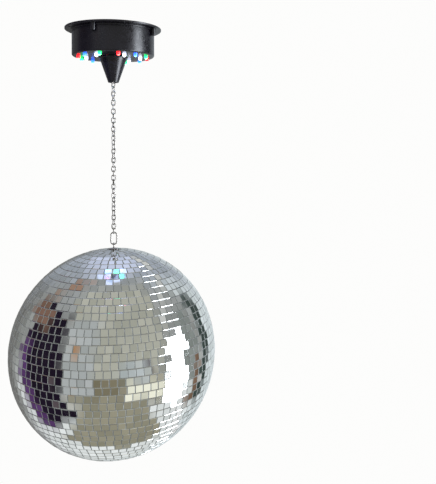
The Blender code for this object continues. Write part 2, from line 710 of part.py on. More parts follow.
def chain():
    """Sections of joined links, each with its origin where it hangs on the one above."""
    tops = link_tops()
    length = LINK_INSIDE + 2 * LINK_WIRE
    mesh = wire_loop("link", LINK_WIDTH, length, LINK_WIRE, 4, 1)
    for section in range(SECTIONS):
        first = section * LINKS_PER_SECTION
        hang_z = tops[first] - LINK_WIRE / 2
        whole = None
        for i in range(first, first + LINKS_PER_SECTION):
            link = add(f"link_{i + 1}", mesh)
            link.location.z = tops[i] - LINK_INSIDE / 2
            link.rotation_euler.z = math.radians(FIRST_LINK_ANGLE + LINK_TURN * i)
            if whole:
                combine(whole, link, "UNION")
            else:
                turn = Matrix.Rotation(link.rotation_euler.z, 4, "Z")
                own = mesh.copy()
                own.transform(Matrix.Translation((0, 0, link.location.z - hang_z)) @ turn)
                bpy.data.objects.remove(link)
                whole = add(f"chain_{section + 1}", own, NICKEL, (0, 0, hang_z))


def hanger_ring():
    mesh = wire_loop("hanger_ring", RING_WIDTH, RING_LENGTH, RING_WIRE, 7, 1)
    ring = add("hanger_ring", mesh, NICKEL)
    hang_z = LAST_INNER_BOTTOM + GAP - RING_WIRE / 2
    mesh.transform(Matrix.Translation((0, 0, RING_Z - hang_z)))
    ring.location.z = hang_z


# ---- ball ------------------------------------------------------------------------------------
def ball_eye():
    """An eye on a round foot, with a shank through the top of the ball."""
    foot = BALL_Z + BALL_RADIUS + 0.35 * MM
    foot_top = foot + 1.1 * MM
    foot_radius = 8 * MM
    shank_bottom = foot - 16 * MM
    profile = [
        (0, foot_top),
        (foot_radius - 2.5 * MM, foot_top),
        (foot_radius, foot + 0.4 * MM),
        (foot_radius, foot),
        (EYE_SHANK_RADIUS, foot),
        (EYE_SHANK_RADIUS, shank_bottom),
        (0, shank_bottom),
    ]
    eye = turned("ball_eye", profile, 20, NICKEL, closed=False)
    outside = 2 * BALL_EYE_RADIUS + EYE_WIRE
    loop = add("ball_eye_loop", wire_loop("ball_eye_loop", outside, outside, EYE_WIRE, 7, 1))
    loop.location.z = BALL_EYE_Z
    loop.rotation_euler.z = math.radians(90)
    combine(eye, loop, "UNION")


def eye_nut():
    """A flanged nut under the shell, which holds the eye."""
    top = BALL_Z + 142.3 * MM
    flange_radius, flange_bottom = 9 * MM, top - 1.5 * MM
    nut_radius, nut_bottom = 4.6 * MM, top - 5 * MM
    bore = EYE_SHANK_RADIUS + GAP
    profile = [
        (flange_radius, top),
        (flange_radius, flange_bottom),
        (nut_radius, flange_bottom),
        (nut_radius, nut_bottom),
        (bore, nut_bottom),
        (bore, top),
    ]
    turned("eye_nut", profile, 12, STEEL)


def half_shell(name, upper, outer, wall, hole, rings, sides, look):
    """Half of a hollow ball, open at the middle; the upper half has a hole at its pole."""
    half_seam = math.degrees(GAP / 2 / outer)
    pole = 90 - math.degrees(hole / outer) if upper else 90
    inner = outer - wall
    if upper:
        profile = arc(outer, pole, half_seam, rings) + arc(inner, half_seam, pole, rings)
    else:
        profile = arc(inner, -pole, -half_seam, rings) + arc(outer, -half_seam, -pole, rings)
        profile[0] = (0, -inner)
        profile[-1] = (0, -outer)
    turned(name, profile, sides, look, (0, 0, BALL_Z), closed=upper)


def ball():
    for upper, half in ((True, "upper"), (False, "lower")):
        hole = BALL_HOLE_RADIUS
        half_shell("ball_core_" + half, upper, CORE_RADIUS, CORE_WALL, hole, 4, 16, CORE_PLASTIC)
        half_shell("mirror_skin_" + half, upper, BALL_RADIUS, TILE_THICKNESS, hole, 7, 32, MIRROR)


ceiling_plate()
case_screws()
battery_door()
motor_housing()
leds()
led_board()
switch()
battery_tray()
batteries()
battery_contacts()
output_parts()
gears()
drive_motor()
gearbox_frame()
nose_cone()
chain()
hanger_ring()
ball_eye()
eye_nut()
ball()
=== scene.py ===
"""The looks of a mirror ball that hangs on a chain under a round battery motor with LEDs.

Metres, +Z up, in the frame of the CAD part: the origin is the middle of the ceiling plate's top
face, and the ball hangs straight down -Z. Angles around the motor are counted from its front (-Y)
towards +X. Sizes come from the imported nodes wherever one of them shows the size.
"""

import json
import math
import random

import bmesh
import bpy
from mathutils import Matrix, Vector


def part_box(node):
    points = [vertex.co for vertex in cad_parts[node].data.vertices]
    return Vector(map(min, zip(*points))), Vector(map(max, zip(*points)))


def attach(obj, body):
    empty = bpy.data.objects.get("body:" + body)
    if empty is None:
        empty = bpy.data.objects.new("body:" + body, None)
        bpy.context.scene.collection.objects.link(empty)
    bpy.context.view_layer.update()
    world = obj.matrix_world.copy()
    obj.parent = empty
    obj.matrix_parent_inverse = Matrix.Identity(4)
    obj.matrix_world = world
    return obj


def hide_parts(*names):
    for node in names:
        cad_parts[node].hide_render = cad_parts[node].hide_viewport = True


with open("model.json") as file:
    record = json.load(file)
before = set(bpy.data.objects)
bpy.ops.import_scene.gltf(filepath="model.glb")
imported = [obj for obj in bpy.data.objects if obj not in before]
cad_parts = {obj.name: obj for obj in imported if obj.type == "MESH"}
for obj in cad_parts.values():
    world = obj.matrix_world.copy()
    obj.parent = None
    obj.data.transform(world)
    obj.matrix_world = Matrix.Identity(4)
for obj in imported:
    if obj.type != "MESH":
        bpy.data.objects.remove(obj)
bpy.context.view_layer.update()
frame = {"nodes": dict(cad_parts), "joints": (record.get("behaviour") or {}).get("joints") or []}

MM = 0.001
TURN = 2 * math.pi
UP = Vector((0, 0, 1))
PIVOT = {joint["name"]: Vector(joint["pos_m"]) for joint in frame["joints"]}


# ---- geometry tools --------------------------------------------------------------------------
def around(radius, degrees):
    """The (x, y) at this radius and this angle from the front."""
    turn = math.radians(degrees)
    return radius * math.sin(turn), -radius * math.cos(turn)


def rounded(corners, closed=True, step=15):
    """An outline whose corners (x, y, radius) are arcs, with a point about every step degrees."""
    points = []
    count = len(corners)
    for i, (x, y, radius) in enumerate(corners):
        here = Vector((x, y))
        if not radius or (not closed and i in (0, count - 1)):
            points.append((x, y))
            continue
        back = (Vector(corners[i - 1][:2]) - here).normalized()
        ahead = (Vector(corners[(i + 1) % count][:2]) - here).normalized()
        opening = back.angle(ahead)
        centre = here + (back + ahead).normalized() * radius / math.sin(opening / 2)
        first = back * radius / math.tan(opening / 2) + here - centre
        last = ahead * radius / math.tan(opening / 2) + here - centre
        steps = max(1, round(math.degrees(math.pi - opening) / step))
        sweep = first.angle_signed(last)
        for k in range(steps + 1):
            turn = -sweep * k / steps
            points.append(
                (
                    centre.x + first.x * math.cos(turn) - first.y * math.sin(turn),
                    centre.y + first.x * math.sin(turn) + first.y * math.cos(turn),
                )
            )
    return points


def turned(outline, sides=64, closed=True):
    """An outline of (radius, z) turned about Z."""
    bm = bmesh.new()
    points = [bm.verts.new((radius, 0, z)) for radius, z in outline]
    pairs = list(zip(points, points[1:])) + ([(points[-1], points[0])] if closed else [])
    edges = [bm.edges.new(pair) for pair in pairs]
    bmesh.ops.spin(bm, geom=points + edges, axis=UP, angle=TURN, steps=sides)
    bmesh.ops.remove_doubles(bm, verts=bm.verts, dist=MM / 1000)
    return bm


def prism(outline, low, high):
    """A flat outline of (x, y) between two heights."""
    bm = bmesh.new()
    base = bm.faces.new([bm.verts.new((x, y, low)) for x, y in outline])
    raised = bmesh.ops.extrude_face_region(bm, geom=[base])["geom"]
    moved = [item for item in raised if isinstance(item, bmesh.types.BMVert)]
    bmesh.ops.translate(bm, vec=(0, 0, high - low), verts=moved)
    bmesh.ops.recalc_face_normals(bm, faces=bm.faces)
    return bm


def block(low, high, bevel=0.0, segments=3):
    """A box between two corners, with rounded edges."""
    low, high = Vector(low), Vector(high)
    bm = bmesh.new()
    size = Matrix.Diagonal((*(high - low), 1))
    bmesh.ops.create_cube(bm, size=1, matrix=Matrix.Translation((low + high) / 2) @ size)
    if bevel:
        bmesh.ops.bevel(bm, geom=bm.edges[:], offset=bevel, segments=segments, profile=0.5, affect="EDGES")
    return bm


def swept(path, wire, across, closed=True, sides=14, swell=None):
    """Round wire along a path; across is a direction that the path never runs along."""
    bm = bmesh.new()
    rings = []
    count = len(path)
    for i, point in enumerate(path):
        before = path[i - 1] if closed or i else point
        after = path[(i + 1) % count] if closed or i < count - 1 else point
        along = (after - before).normalized()
        side = (across - across.dot(along) * along).normalized()
        other = along.cross(side)
        radius = wire / 2 * (swell(point) if swell else 1)
        ring = []
        for k in range(sides):
            turn = TURN * k / sides
            ring.append(bm.verts.new(point + radius * (math.cos(turn) * side + math.sin(turn) * other)))
        rings.append(ring)
    spans = list(zip(rings, rings[1:])) + ([(rings[-1], rings[0])] if closed else [])
    for first, second in spans:
        for k in range(sides):
            nxt = (k + 1) % sides
            bm.faces.new((first[k], first[nxt], second[nxt], second[k]))
    if not closed:
        bm.faces.new(rings[0])
        bm.faces.new(rings[-1])
    bmesh.ops.recalc_face_normals(bm, faces=bm.faces)
    return bm


def oval(width, length, steps):
    """The middle line of an oval loop in the XZ plane, its ends half circles."""
    bend = width / 2
    straight = length / 2 - bend
    path = []
    for side in (1, -1):
        for i in range(steps + 1):
            turn = math.pi * i / steps
            path.append(Vector((side * bend * math.cos(turn), 0, side * (straight + bend * math.sin(turn)))))
    middles = [Vector((-bend, 0, 0)), Vector((bend, 0, 0))]
    if straight < MM / 10:
        return path[:steps] + path[steps + 1 : -1]
    return path[: steps + 1] + middles[:1] + path[steps + 1 :] + middles[1:]


def moved(bm, matrix):
    bm.transform(matrix)
    return bm


def joined(*parts):
    """Several meshes in one, left as they are."""
    whole = bmesh.new()
    for part in parts:
        mesh = bpy.data.meshes.new("part")
        part.to_mesh(mesh)
        part.free()
        whole.from_mesh(mesh)
        bpy.data.meshes.remove(mesh)
    return whole


def combined(base, tool, operation="DIFFERENCE"):
    """The result of a Boolean; both meshes are used up."""
    made = []
    for bm in (base, tool):
        bmesh.ops.recalc_face_normals(bm, faces=bm.faces)
        mesh = bpy.data.meshes.new("operand")
        bm.to_mesh(mesh)
        bm.free()
        made.append(bpy.data.objects.new("operand", mesh))
        bpy.context.scene.collection.objects.link(made[-1])
    boolean = made[0].modifiers.new("Boolean", "BOOLEAN")
    boolean.object = made[1]
    boolean.operation = operation
    graph = bpy.context.evaluated_depsgraph_get()
    mesh = bpy.data.meshes.new_from_object(made[0].evaluated_get(graph))
    result = bmesh.new()
    result.from_mesh(mesh)
    for obj in made:
        bpy.data.meshes.remove(obj.data)
    bmesh.ops.remove_doubles(result, verts=result.verts, dist=MM / 500)
    bmesh.ops.dissolve_degenerate(result, edges=result.edges, dist=MM / 500)
    return result


def piece(name, bm, body, look, nodes=(), angle=35):
    """A finished piece: what it looks like, the body it moves with and the CAD nodes it replaces."""
    bmesh.ops.recalc_face_normals(bm, faces=bm.faces)
    if bm.calc_volume(signed=True) < 0:
        bmesh.ops.reverse_faces(bm, faces=bm.faces)
    mesh = bpy.data.meshes.new(name)
    bm.to_mesh(mesh)
    bm.free()
    mesh.shade_smooth()
    mesh.set_sharp_from_angle(angle=math.radians(angle))
    for one in look if isinstance(look, (list, tuple)) else [look]:
        mesh.materials.append(one)
    obj = bpy.data.objects.new(name, mesh)
    bpy.context.scene.collection.objects.link(obj)
    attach(obj, body)
    if nodes:
        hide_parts(*nodes)
    return obj


# ---- materials -------------------------------------------------------------------------------
def fill_ramp(ramp, stops):
    """Gives a colour ramp node its stops of (position, colour)."""
    elements = ramp.color_ramp.elements
    while len(elements) < len(stops):
        elements.new(0.5)
    for element, (position, colour) in zip(elements, stops):
        element.position = position
        element.color = (*colour, 1)


class Look:
    """A Principled material whose sockets are varied by procedural textures."""

    def __init__(self, name, colour, roughness, metallic=0.0, **sockets):
        self.material = bpy.data.materials.new(name)
        self.material.use_nodes = True
        self.tree = self.material.node_tree
        self.shader = self.tree.nodes["Principled BSDF"]
        self.shader.inputs["Base Color"].default_value = (*colour, 1)
        self.shader.inputs["Roughness"].default_value = roughness
        self.shader.inputs["Metallic"].default_value = metallic
        for socket, value in sockets.items():
            self.shader.inputs[socket.replace("_", " ")].default_value = value
        self.place = self.tree.nodes.new("ShaderNodeTexCoord").outputs["Object"]

    def noise(self, scale, detail=3.0, stretch=(1, 1, 1)):
        """Noise with this many features to a metre."""
        mapping = self.tree.nodes.new("ShaderNodeMapping")
        mapping.inputs["Scale"].default_value = stretch
        self.tree.links.new(self.place, mapping.inputs["Vector"])
        made = self.tree.nodes.new("ShaderNodeTexNoise")
        made.inputs["Scale"].default_value = scale
        made.inputs["Detail"].default_value = detail
        self.tree.links.new(mapping.outputs["Vector"], made.inputs["Vector"])
        return made.outputs["Fac"]

    def attribute(self, name):
        made = self.tree.nodes.new("ShaderNodeAttribute")
        made.attribute_name = name
        return made.outputs["Fac"]

    def blend(self, socket, factor, stops):
        """Drives a colour socket by a ramp of (position, colour) over the factor."""
        ramp = self.tree.nodes.new("ShaderNodeValToRGB")
        fill_ramp(ramp, stops)
        self.tree.links.new(factor, ramp.inputs["Fac"])
        self.tree.links.new(ramp.outputs["Color"], self.shader.inputs[socket])
        return self

    def vary(self, socket, factor, low, high):
        """Drives a number socket between two values."""
        scaled = self.tree.nodes.new("ShaderNodeMapRange")
        scaled.inputs["From Min"].default_value = 0.3
        scaled.inputs["From Max"].default_value = 0.7
        scaled.inputs["To Min"].default_value = low
        scaled.inputs["To Max"].default_value = high
        self.tree.links.new(factor, scaled.inputs["Value"])
        self.tree.links.new(scaled.outputs["Result"], self.shader.inputs[socket])
        return self

    def bump(self, height, distance, strength=1.0):
        made = self.tree.nodes.new("ShaderNodeBump")
        made.inputs["Strength"].default_value = strength
        made.inputs["Distance"].default_value = distance
        self.tree.links.new(height, made.inputs["Height"])
        self.tree.links.new(made.outputs["Normal"], self.shader.inputs["Normal"])
        return self


def moulded(name, colour, roughness, grain, depth):
    """Moulded plastic: a fine spark-eroded grain with slightly uneven gloss."""
    look = Look(name, colour, roughness, Specular_IOR_Level=0.38)
    coarse = look.noise(45)
    lighter = tuple(min(1, c * 1.35 + 0.001) for c in colour)
    look.blend("Base Color", coarse, [(0.35, colour), (0.7, lighter)])
    look.vary("Roughness", look.noise(160, 2), roughness - 0.05, roughness + 0.07)
    look.bump(look.noise(grain, 2), depth)
    return look.material


def metal(name, colour, roughness, scratches=(1, 1, 6), tarnish=0.75):
    """Plated or plain metal with duller patches and fine scratches."""
    look = Look(name, colour, roughness, 1.0)
    dull = tuple(c * tarnish for c in colour)
    look.blend("Base Color", look.noise(260, 4), [(0.35, dull), (0.6, colour)])
    look.vary("Roughness", look.noise(600, 3, scratches), roughness * 0.8, roughness * 1.35)
    look.bump(look.noise(1400, 2, scratches), 0.002 * MM)
    return look.material


def lit_epoxy(name, deep, bright):
    """A lit LED: deep at its foot, bright in the dome, where the chip's light gathers."""
    look = Look(name, deep, 0.12, Specular_IOR_Level=0.6)
    look.shader.inputs["Emission Strength"].default_value = 6.0
    glow = look.attribute("glow")
    dim = tuple(c * 0.25 for c in deep)
    look.blend("Emission Color", glow, [(0.0, dim), (0.45, deep), (1.0, bright)])
    return look.material


BLACK = moulded("black_plastic", (0.0044, 0.004, 0.0068), 0.28, 2600, 0.02 * MM)
GLOSS = moulded("gloss_black", (0.005, 0.005, 0.006), 0.16, 900, 0.004 * MM)
GREY = moulded("grey_plastic", (0.3, 0.3, 0.31), 0.5, 1500, 0.03 * MM)
ACETAL = moulded("gear_plastic", (0.82, 0.81, 0.76), 0.4, 1200, 0.01 * MM)
PRINT = moulded("mark_print", (0.62, 0.63, 0.64), 0.45, 1800, 0.01 * MM)
STEEL = metal("steel", (0.56, 0.56, 0.57), 0.3)
NICKEL = metal("nickel", (0.41, 0.385, 0.365), 0.29)
BRASS = metal("brass", (0.74, 0.55, 0.27), 0.3)
LED_LOOKS = {
    "red": lit_epoxy("led_red", (1.0, 0.01, 0.015), (1.0, 0.25, 0.22)),
    "blue": lit_epoxy("led_blue", (0.02, 0.12, 1.0), (0.25, 0.75, 1.0)),
    "green": lit_epoxy("led_green", (0.01, 0.75, 0.16), (0.35, 1.0, 0.6)),
    "white": lit_epoxy("led_white", (0.55, 0.6, 0.8), (1.0, 1.0, 1.0)),
}


def board_look():
    """Green solder mask with a faint copper pattern under it."""
    look = Look("circuit_board", (0.02, 0.16, 0.06), 0.35)
    pattern = look.noise(220, 1)
    look.blend("Base Color", pattern, [(0.47, (0.018, 0.135, 0.052)), (0.53, (0.022, 0.155, 0.061))])
    look.bump(pattern, 0.03 * MM)
    return look.material


def cell_look():
    """A plain printed film in slate grey, with a paler band at the end that has the button."""
    look = Look("cell_skin", (0.1, 0.12, 0.16), 0.28, 0.2)
    look.blend("Base Color", look.attribute("tone"), [(0.2, (0.44, 0.46, 0.47)), (0.215, (0.1, 0.125, 0.15))])
    look.vary("Roughness", look.noise(300), 0.22, 0.36)
    look.bump(look.noise(140), 0.02 * MM)
    return look.material


def tile_look():
    """Silvered glass: every tile has its own slight tone, and the glass is a little uneven."""
    look = Look("mirror_tile", (0.9, 0.9, 0.9), 0.05, 1.0)
    look.blend("Base Color", look.attribute("tone"), [(0.0, (0.72, 0.73, 0.71)), (1.0, (0.95, 0.95, 0.94))])
    look.vary("Roughness", look.noise(90, 2), 0.03, 0.075)
    look.bump(look.noise(70, 1), 0.012 * MM)
    return look.material


def glass_edge_look():
    """The ground edges of the glass, pale and matt."""
    look = Look("glass_edge", (0.25, 0.27, 0.265), 0.4, 0.3)
    look.blend("Base Color", look.noise(900), [(0.3, (0.16, 0.18, 0.175)), (0.7, (0.32, 0.34, 0.335))])
    look.bump(look.noise(2500), 0.02 * MM)
    return look.material


def backing_look():
    """The woven backing that shows silver-grey between the tiles."""
    look = Look("core_plastic", (0.2, 0.2, 0.205), 0.55)
    look.blend("Base Color", look.noise(500, 2), [(0.35, (0.14, 0.145, 0.15)), (0.65, (0.26, 0.265, 0.27))])
    look.bump(look.noise(1500, 1), 0.05 * MM)
    return look.material


BOARD, CELL, TILE, EDGE, BACKING = (
    make() for make in (board_look, cell_look, tile_look, glass_edge_look, backing_look)
)


def finish_inner_nodes():
    """The CAD pieces inside the housing keep their shape and take the finer materials."""
    looks = {
        "led_board": BOARD,
        "gearbox_frame": GREY,
        "battery_tray": BLACK,
        "output_gear": ACETAL,
        "gear_1": ACETAL,
        "gear_2": ACETAL,
        "motor_pinion": BRASS,
        "output_bushing": BRASS,
    }
    steel = ("gear_pin_1", "gear_pin_2", "drive_motor", "shaft_collar", "eye_nut")
    looks.update({name: STEEL for name in steel})
    for name, look in looks.items():
        for material_slot in frame["nodes"][name].material_slots:
            material_slot.material = look


# ---- ceiling plate, screws and battery door -----------------------------------------------------
PLATE_LOW, PLATE_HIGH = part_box("ceiling_plate")
PLATE_RADIUS = PLATE_HIGH.x
MOUNT_HOLE_RADIUS = 2.25 * MM
MOUNT_HOLES = [around(65.5 * MM, angle) for angle in (110, 290)]
SCREWS = [(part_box(f"case_screw_{i}")[0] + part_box(f"case_screw_{i}")[1]) / 2 for i in range(1, 5)]
DOOR_LOW, DOOR_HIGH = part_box("battery_door")


def hole(radius, x, y, low, high, chamfer=0.0, sides=32):
    """A cutter for a round hole from low up to high, opened out at both faces by a chamfer."""
    over = MM
    outline = [
        (0, low - over),
        (radius + chamfer + over, low - over),
        (radius + chamfer + over, low - over / 1000),
        (radius + chamfer, low),
        (radius, low + chamfer),
        (radius, high - chamfer),
        (radius + chamfer, high),
        (radius + chamfer + over, high + over / 1000),
        (radius + chamfer + over, high + over),
        (0, high + over),
    ]
    if not chamfer:
        outline = [(0, low - over), (radius, low - over), (radius, high + over), (0, high + over)]
    return moved(turned(outline, sides, closed=False), Matrix.Translation((x, y, 0)))


def ceiling_plate():
    """A round plate with mounting holes, countersunk screw holes and the door's opening."""
    low, high = PLATE_LOW.z, PLATE_HIGH.z
    outline = rounded(
        [
            (0, high, 0),
            (PLATE_RADIUS, high, 0.5 * MM),
            (PLATE_RADIUS, low, 1.1 * MM),
            (0, low, 0),
        ],
        closed=False,
    )
    plate = turned(outline, 128, closed=False)
    for x, y in MOUNT_HOLES:
        plate = combined(plate, hole(MOUNT_HOLE_RADIUS, x, y, low, high, 0.25 * MM))
    shank, head = 1.5 * MM, 3.3 * MM
    for screw in SCREWS:
        sink = [(0, high + MM), (head + MM, high + MM), (head, high), (shank, high - 2 * MM)]
        sink += [(shank, low - MM), (0, low - MM)]
        cutter = turned(sink, 32, closed=False)
        plate = combined(plate, moved(cutter, Matrix.Translation((screw.x, screw.y, 0))))
    slot, front_round, hinge_round = 0.4 * MM, 2.2 * MM, 0.8 * MM
    corners = [
        (DOOR_LOW.x - slot, DOOR_LOW.y - slot, front_round),
        (DOOR_HIGH.x + slot, DOOR_LOW.y - slot, front_round),
        (DOOR_HIGH.x + slot, DOOR_HIGH.y + slot, hinge_round),
        (DOOR_LOW.x - slot, DOOR_HIGH.y + slot, hinge_round),
    ]
    plate = combined(plate, prism(rounded(corners), low - MM, high + MM))
    piece("ceiling_plate_shell", plate, "ceiling_unit", BLACK, ["ceiling_plate"])


def case_screws():
    """Countersunk screws with a cross recess, each one turned in to another angle."""
    head, shank, cross, cross_width = 2.9 * MM, 1.2 * MM, 1.7 * MM, 0.3 * MM
    for i, middle in enumerate(SCREWS):
        node = f"case_screw_{i + 1}"
        low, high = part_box(node)
        outline = rounded(
            [
                (0, high.z, 0),
                (head, high.z, 0.1 * MM),
                (shank, high.z - 1.75 * MM, 0),
                (shank, low.z, 0.2 * MM),
                (0, low.z, 0),
            ],
            closed=False,
        )
        screw = turned(outline, 32, closed=False)
        for quarter in (0, 90):
            arm = block((-cross, -cross_width, high.z - 1.1 * MM), (cross, cross_width, high.z + MM))
            turn = Matrix.Rotation(math.radians(quarter + 20 + 37 * i), 4, "Z")
            screw = combined(screw, moved(arm, turn))
        moved(screw, Matrix.Translation((middle.x, middle.y, 0)))
        piece(f"cross_screw_{i + 1}", screw, "ceiling_unit", STEEL, [node])


def battery_door():
    """A flat door with grip grooves and a finger notch at its free edge."""
    corners = [
        (DOOR_LOW.x, DOOR_LOW.y, 1.8 * MM),
        (DOOR_HIGH.x, DOOR_LOW.y, 1.8 * MM),
        (DOOR_HIGH.x, DOOR_HIGH.y, 0.5 * MM),
        (DOOR_LOW.x, DOOR_HIGH.y, 0.5 * MM),
    ]
    door = prism(rounded(corners), DOOR_LOW.z, DOOR_HIGH.z)
    rim = [edge for edge in door.edges if edge.calc_face_angle(0) > math.radians(60)]
    bmesh.ops.bevel(door, geom=rim, offset=0.25 * MM, segments=2, profile=0.5, affect="EDGES")
    top, grooves, reach, half_width = DOOR_HIGH.z, 5, 9 * MM, 0.4 * MM
    for i in range(grooves):
        y = DOOR_LOW.y + (4.2 + 1.7 * i) * MM
        groove = block((-reach, y - half_width, top - 0.5 * MM), (reach, y + half_width, top + MM))
        door = combined(door, groove)
    notch = hole(5.5 * MM, 0, DOOR_LOW.y - 3.4 * MM, top - 0.9 * MM, top + MM)
    door = combined(door, notch)
    piece("battery_door_panel", door, "battery_door", BLACK, ["battery_door"])


# ---- motor housing ---------------------------------------------------------------------------
HOUSING_LOW, HOUSING_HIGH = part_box("motor_housing")
FACE_Z = HOUSING_LOW.z
DRUM_RADIUS = 60 * MM
DRUM_FOOT_RADIUS = 61.3 * MM
WALL = 2.2 * MM
LED_NODES = sorted(name for name in frame["nodes"] if name.startswith("led_") and name != "led_board")
LED_RADIUS = 2.5 * MM
LED_FLANGE_RADIUS = 2.9 * MM
FRAME_LOW, FRAME_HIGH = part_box("switch_frame")
SWITCH_WIDTH, SWITCH_HEIGHT = 15 * MM, 21 * MM
SWITCH_Z = PIVOT["rocker_tilt"].z
BOSS_RADIUS = 3.5 * MM
BOSS_HEIGHT = 10 * MM


def motor_housing():
    """A drum with a groove under its foot, screw bosses, a hole for each LED and the switch's seat."""
    top, inner, groove = HOUSING_HIGH.z, DRUM_RADIUS - WALL, DRUM_RADIUS - 0.4 * MM
    shaft_hole, pilot_radius, pilot_end = 8 * MM, 1.5 * MM, -11.6 * MM
    corners = [
        (DRUM_FOOT_RADIUS, top, 0),
        (DRUM_FOOT_RADIUS, -4.9 * MM, 0.6 * MM),
        (groove, -5.2 * MM, 0.2 * MM),
        (groove, -5.9 * MM, 0.2 * MM),
        (DRUM_RADIUS, -6.1 * MM, 0.1 * MM),
        (DRUM_RADIUS, FACE_Z, 2.6 * MM),
        (shaft_hole, FACE_Z, 0.2 * MM),
        (shaft_hole, FACE_Z + WALL, 0),
        (inner, FACE_Z + WALL, 1.2 * MM),
        (inner, top, 0),
    ]
    drum = turned(rounded(corners), 144)
    for screw in SCREWS:
        post = rounded(
            [
                (0, top, 0),
                (BOSS_RADIUS, top, 0),
                (BOSS_RADIUS - 0.15 * MM, top - BOSS_HEIGHT, 0.5 * MM),
                (0, top - BOSS_HEIGHT, 0),
            ],
            closed=False,
        )
        base = Matrix.Translation((screw.x, screw.y, 0))
        drum = combined(drum, moved(turned(post, 32, closed=False), base), "UNION")
        pilot = hole(pilot_radius, screw.x, screw.y, pilot_end, top, sides=20)
        drum = combined(drum, pilot)
    gap = 0.3 * MM
    for name in LED_NODES:
        low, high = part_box(name)
        middle = (low + high) / 2
        led_hole = hole(LED_RADIUS + gap, middle.x, middle.y, FACE_Z, FACE_Z + WALL, 0.25 * MM, 24)
        drum = combined(drum, led_hole)
    reach = DRUM_RADIUS * 1.3
    wide, tall, seat_y = 9.4 * MM, 12.6 * MM, 59.1 * MM
    seat = block((-wide, seat_y, SWITCH_Z - tall), (wide, reach, SWITCH_Z + tall), 0.4 * MM)
    drum = combined(drum, seat)
    wide, tall, inside_y = 6.4 * MM + gap, 9.5 * MM + gap, 40 * MM
    opening = block((-wide, inside_y, SWITCH_Z - tall), (wide, reach, SWITCH_Z + tall))
    drum = combined(drum, opening)
    piece("housing_shell", drum, "ceiling_unit", BLACK, ["motor_housing"])


def leds():
    """Clear-domed LEDs; a glow value runs from the flange up into the dome."""
    for name in LED_NODES:
        low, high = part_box(name)
        middle = (low + high) / 2
        flange = high.z - MM
        corners = [
            (0, high.z, 0),
            (LED_FLANGE_RADIUS, high.z, 0.1 * MM),
            (LED_FLANGE_RADIUS, flange, 0.1 * MM),
            (LED_RADIUS, flange, 0),
            (LED_RADIUS, low.z, LED_RADIUS * 0.98),
            (0, low.z, 0),
        ]
        dome = turned(rounded(corners, closed=False, step=12), 32, closed=False)
        moved(dome, Matrix.Translation((middle.x, middle.y, 0)))
        colour = name.split("_")[1]
        lens = piece(f"{name}_dome", dome, "ceiling_unit", LED_LOOKS[colour], [name], 60)
        glow = lens.data.attributes.new("glow", "FLOAT", "POINT")
        for vertex, value in zip(lens.data.vertices, glow.data):
            depth = (FACE_Z - vertex.co.z) / (FACE_Z - low.z)
            offset = math.hypot(vertex.co.x - middle.x, vertex.co.y - middle.y) / LED_RADIUS
            value.value = max(0, min(1, depth)) * (1 - 0.45 * offset**2)


